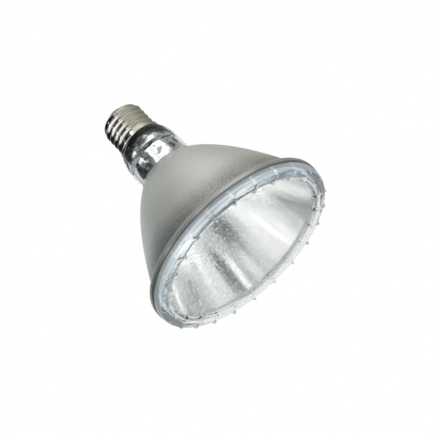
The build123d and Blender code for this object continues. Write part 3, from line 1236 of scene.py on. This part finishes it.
PATCHES: tuple[Patch, ...] = (
    Patch(0.6, -0.65, 0.45, 28, 55, (1.9, 1.9, 1.9)),
    Patch(0.55, 0.68, -0.48, 28, 58, (0.4, 0.39, 0.37)),
    Patch(0.85, 0.52, 0.05, 10, 24, (0.75, 0.75, 0.75)),
    Patch(0.95, 0.1, 0.25, 8, 18, (1.1, 1.1, 1.1)),
    Patch(-0.45, -0.6, 0.66, 30, 46, (1.25, 1.25, 1.22)),
    Patch(-0.12, -0.29, 0.94, 5, 10, (0.65, 0.65, 0.64)),
    Patch(-0.47, -0.48, 0.74, 1.5, 5, (2.3, 2.3, 2.25)),
    Patch(-0.66, -0.74, 0.1, 5, 13, (0.25, 0.25, 0.26)),
    Patch(0.09, -0.08, 1.0, 8, 14, (0.03, 0.035, 0.04)),
    Patch(-0.16, -0.02, 0.99, 4, 8, (0.85, 0.85, 0.85)),
    Patch(-0.01, 0.16, 0.99, 4, 9, (1.2, 1.2, 1.2)),
    Patch(-0.52, 0.44, 0.73, 4, 8, (3.5, 3.5, 3.5)),
    Patch(-0.6, 0.53, 0.6, 4, 8, (3.5, 3.5, 3.5)),
    Patch(-0.66, 0.59, 0.46, 4, 8, (3.5, 3.5, 3.5)),
    Patch(0.42, 0.42, 0.8, 6, 10, (0.06, 0.07, 0.09)),
    Patch(0.24, 0.34, 0.91, 3, 5.5, (2.4, 2.4, 2.4)),
    Patch(0.78, 0.38, 0.49, 5, 8, (2.2, 2.2, 2.2)),
    Patch(0.55, -0.57, -0.61, 20, 45, (0.85, 0.85, 0.85)),
    Patch(-0.2, -0.2, -0.95, 14, 30, (0.95, 0.95, 0.95)),
)


@dataclass
class Studio:
    """The camera of the photograph, its light and its white surroundings.

    The camera looks up at the lens: the axis of the bulb is tilted towards it and rolled in the picture.
    """

    distance: float = 1.595
    tilt: float = 26.3
    roll: float = -43.6
    picture: int = 433
    scale: float = 1778.0
    aim_pixel: Point = (244.7, 250.4)
    aim_z: float = 1.2
    sensor: float = 36.0
    clip: Limits = (0.05, 30.0)
    floor_size: float = 6.0
    floor_gap: float = 0.3
    floor_colour: Colour = (0.92, 0.92, 0.92)
    sky_side: Colour = (0.45, 0.85, 0.0)  # right, up and back
    sky_limits: Limits = (-0.3, 0.75)
    sky_dark: Colour = (0.02, 0.021, 0.022)
    sky_light: Colour = (0.9, 0.9, 0.89)
    white: Colour = (1.0, 1.0, 1.0)

    def axes(self) -> tuple[Vector, Vector, Vector]:
        """The camera's own directions, in the frame.

        Returns:
            Right, up and back.
        """
        tilt, roll = math.radians(self.tilt), math.radians(self.roll)
        back = Vector((0, -math.cos(tilt), -math.sin(tilt)))
        level_up = Vector((0, -math.sin(tilt), math.cos(tilt)))
        level_right = Vector((1, 0, 0))
        right = math.cos(roll) * level_right + math.sin(roll) * level_up
        up = -math.sin(roll) * level_right + math.cos(roll) * level_up
        return right, up, back

    def towards(self, shares: Colour) -> Vector:
        """Returns the sum of the camera's right, up and back directions, each times its share."""
        right, up, back = self.axes()
        return right * shares[0] + up * shares[1] + back * shares[2]

    def place_camera(self) -> None:
        """Makes the camera, with the aim point at its pixel."""
        data = bpy.data.cameras.new("camera")
        data.sensor_width = self.sensor
        data.lens = self.scale * self.distance / self.picture * self.sensor
        data.clip_start, data.clip_end = self.clip
        half = self.picture / 2
        off_right = (half - self.aim_pixel[0]) / self.scale
        off_up = (self.aim_pixel[1] - half) / self.scale
        camera = add_object("camera", data)
        aim = Vector((0, 0, self.aim_z * MM))
        camera.location = aim + self.towards((off_right, off_up, self.distance))
        camera.rotation_euler = Matrix(self.axes()).transposed().to_euler()
        bpy.context.scene.camera = camera

    def place_lamps(self) -> None:
        """Makes the area lights, each facing the bulb."""
        low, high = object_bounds()
        centre = (low + high) / 2
        for lamp in LAMPS:
            data = bpy.data.lights.new(lamp.name, "AREA")
            data.shape, data.size, data.size_y = "RECTANGLE", lamp.width, lamp.height
            data.energy, data.color = lamp.power, lamp.colour
            made = add_object(lamp.name, data)
            made.location = centre + self.towards((lamp.right, lamp.up, lamp.back))
            made.rotation_euler = (centre - made.location).to_track_quat("-Z", "Y").to_euler()

    def facing(self, ray: Socket, shares: Colour) -> Socket:
        """Cosine of the angle between a ray and one of the camera's own directions.

        Args:
            ray: The ray's direction.
            shares: The other direction's right, up and back.

        Returns:
            The cosine.
        """
        inputs = {0: ray, 1: tuple(self.towards(shares).normalized())}
        node = ray.graph.node("ShaderNodeVectorMath", inputs, operation="DOT_PRODUCT")
        return ray.graph.out(node, "Value")

    def paint_world(self) -> None:
        """Makes the surroundings.

        To the camera, and through glass, they are white. Mirrors and lit surfaces see a soft grey sky that is
        dark on its lower side, with lighter and darker patches.
        """
        world = bpy.data.worlds.new("surroundings")
        bpy.context.scene.world = world
        world.use_nodes = True
        graph = Graph(world.node_tree)
        ray = graph.out(graph.node("ShaderNodeTexCoord"), "Generated")
        share = self.facing(ray, self.sky_side).ramp(*self.sky_limits)
        sky = graph.mix(share, self.sky_dark, self.sky_light)
        for patch in PATCHES:
            limits = [math.cos(math.radians(angle)) for angle in (patch.outer, patch.inner)]
            share = self.facing(ray, (patch.right, patch.up, patch.back)).ramp(*limits)
            sky = graph.mix(share, sky, patch.colour)
        path = graph.node("ShaderNodeLightPath")
        unmirrored = 1 - graph.out(path, "Glossy Depth").least(1.0)
        through = graph.out(path, "Is Transmission Ray") * unmirrored
        colour = graph.mix(graph.out(path, "Is Camera Ray").most(through), sky, self.white)
        shader = graph.node("ShaderNodeBackground", {"Color": colour, "Strength": 1.0})
        graph.node("ShaderNodeOutputWorld", {"Surface": shader.outputs[0]})

    def lay_floor(self) -> None:
        """Lays the pale floor. From below it is clear, because the photograph looks up."""
        half, height = self.floor_size / 2, -self.floor_gap * MM
        corners = [(x * half, y * half, height) for x, y in ((-1, -1), (1, -1), (1, 1), (-1, 1))]
        mesh = bpy.data.meshes.new("floor")
        mesh.from_pydata(corners, [], [(0, 1, 2, 3)])
        material = bpy.data.materials.new("floor_white")
        material.use_nodes = True
        graph = Graph(material.node_tree)
        seen = graph.out(graph.node("ShaderNodeLightPath"), "Is Camera Ray")
        above = 1 - graph.out(graph.node("ShaderNodeNewGeometry"), "Backfacing")
        pale = graph.node("ShaderNodeBsdfDiffuse", {"Color": (*self.floor_colour, 1.0)})
        clear = graph.node("ShaderNodeBsdfTransparent")
        shaders = {0: seen * above, 1: clear.outputs[0], 2: pale.outputs[0]}
        both = graph.node("ShaderNodeMixShader", shaders)
        graph.node("ShaderNodeOutputMaterial", {"Surface": both.outputs[0]})
        mesh.materials.append(material)
        add_object("floor", mesh)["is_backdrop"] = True

    def build(self) -> None:
        """Builds the studio."""
        bpy.context.scene.view_settings.view_transform = "Standard"
        self.place_camera()
        self.place_lamps()
        self.paint_world()
        self.lay_floor()


CLEAR: Colour = (0.97, 0.985, 1.0)
TUNGSTEN: Colour = (0.3, 0.3, 0.31)

FINISHES: dict[Surface, Finish] = {
    Surface.BOWL: FrostedFinish("frosted_bowl", (0.67, 0.67, 0.635), 0.42, metallic=0.8, grain_depth=0.15),
    Surface.FLANGE: FlangeFinish("flange_glass", (0.35, 0.36, 0.35), 0.3, metallic=0.25, grain_depth=0.03),
    Surface.NECK: GlassFinish("clear_neck", (0.7, 0.75, 0.77), 0.03, transmission=1.0, ior=1.19),
    Surface.MIRROR: MirrorFinish("mirror_coat", (0.92, 0.92, 0.9), 0.05, metallic=1.0),
    Surface.WELL: WellFinish("well_coat", (0.95, 0.95, 0.95), 0.24, metallic=1.0),
    Surface.LENS_FACE: StippledFinish("stippled_lens", CLEAR, 0.05, transmission=1.0, ior=1.47),
    Surface.LENS_BACK: GlassFinish("clear_back", CLEAR, 0.03, transmission=1.0, ior=1.47, wave_depth=0.05),
    Surface.LENS_RIM: SegmentFinish(
        "clear_rim", (0.95, 0.985, 1.0), 0.05, transmission=0.76, ior=1.18, wave=4.0, wave_depth=0.35
    ),
    Surface.LENS_WALL: SegmentFinish(
        "clear_wall", (0.97, 0.99, 1.0), 0.08, transmission=0.58, ior=1.14, wave=6.0, wave_depth=0.5
    ),
    Surface.LENS_BEAD: GlassFinish(
        "clear_bead", (0.98, 0.99, 1.0), 0.1, transmission=0.62, ior=1.12, wave=4.0, wave_depth=0.2
    ),
    Surface.LENS_BOND: Finish("bonded_rim", (0.88, 0.95, 0.98), 0.5, grain=1.5),
    Surface.NICKEL: PlateFinish(
        "nickel_plate",
        (0.74, 0.72, 0.68),
        0.08,
        metallic=1.0,
        grain_depth=0.0015,
        # The shell's +X side and thread roots carry painted shade.
        dull_and_shaded=1.0,
        root_shade_share=0.8,
    ),
}

COIL_FINISH = Finish("tungsten_coil", TUNGSTEN, 0.35, metallic=1.0, grain=0.3)

NODE_FINISHES: dict[Finish, tuple[str, ...]] = {
    Finish("sealant", (0.9, 0.94, 0.95), 0.5, grain=0.6): ("rim_seal",),
    Finish("black_glass", (0.012, 0.012, 0.014), 0.12, grain=2.0): ("cap_insulator",),
    PlateFinish("contact_plate", (0.8, 0.64, 0.34), 0.24, metallic=1.0): ("centre_contact",),
    Finish("solder", (0.6, 0.61, 0.62), 0.34, metallic=1.0, grain=0.5, grain_depth=0.03): ("contact_solder",),
    Finish("cement", (0.6, 0.55, 0.46), 0.8, grain=0.4, grain_depth=0.06): ("basing_cement",),
    GlassFinish("quartz", (0.97, 0.98, 0.98), 0.02, transmission=1.0, ior=1.46, wave=4.0): (
        "capsule_envelope",
    ),
    Finish("tungsten_lead", TUNGSTEN, 0.35, metallic=1.0, grain=0.3): (
        "inner_lead_left",
        "inner_lead_right",
    ),
    Finish("foil", (0.5, 0.5, 0.5), 0.3, metallic=1.0, grain=0.4): ("foil_left", "foil_right"),
    Finish("lead_wire", (0.55, 0.55, 0.54), 0.3, metallic=1.0, grain=0.3): (
        "outer_lead_left",
        "outer_lead_right",
    ),
    PlateFinish("ferrule", (0.68, 0.68, 0.65), 0.26, metallic=1.0): ("ferrule_left", "ferrule_right"),
    Finish("neck_wire", (0.62, 0.58, 0.52), 0.32, metallic=1.0, grain=0.3): ("contact_wire", "shell_wire"),
}


def settle(piece: bpy.types.Object, node: str) -> None:
    """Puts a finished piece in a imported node's place.

    Args:
        piece: The piece.
        node: The node that it stands for.
    """
    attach(piece, ROOT_BODY)
    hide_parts(node)
    LOG.info("%s: %d faces", piece.name, len(piece.data.polygons))


def dress_nodes() -> None:
    """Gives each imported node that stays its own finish."""
    for finish, names in NODE_FINISHES.items():
        material = finish.material()
        for name in names:
            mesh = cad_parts[name].data
            mesh.materials.clear()
            mesh.materials.append(material)
            LOG.info("%s: %s", name, finish.name)


def main() -> None:
    """Builds the bulb and its studio."""
    logging.basicConfig(level=logging.INFO)
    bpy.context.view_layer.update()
    finishes = {surface: finish.material() for surface, finish in FINISHES.items()}
    settle(Reflector().build(finishes), "reflector")
    settle(Lens().build(finishes), "lens")
    settle(ScrewShell().build(finishes), "screw_shell")
    settle(Filament().build(COIL_FINISH.material()), "filament")
    dress_nodes()
    Studio().build()


if __name__ == "__main__":
    main()
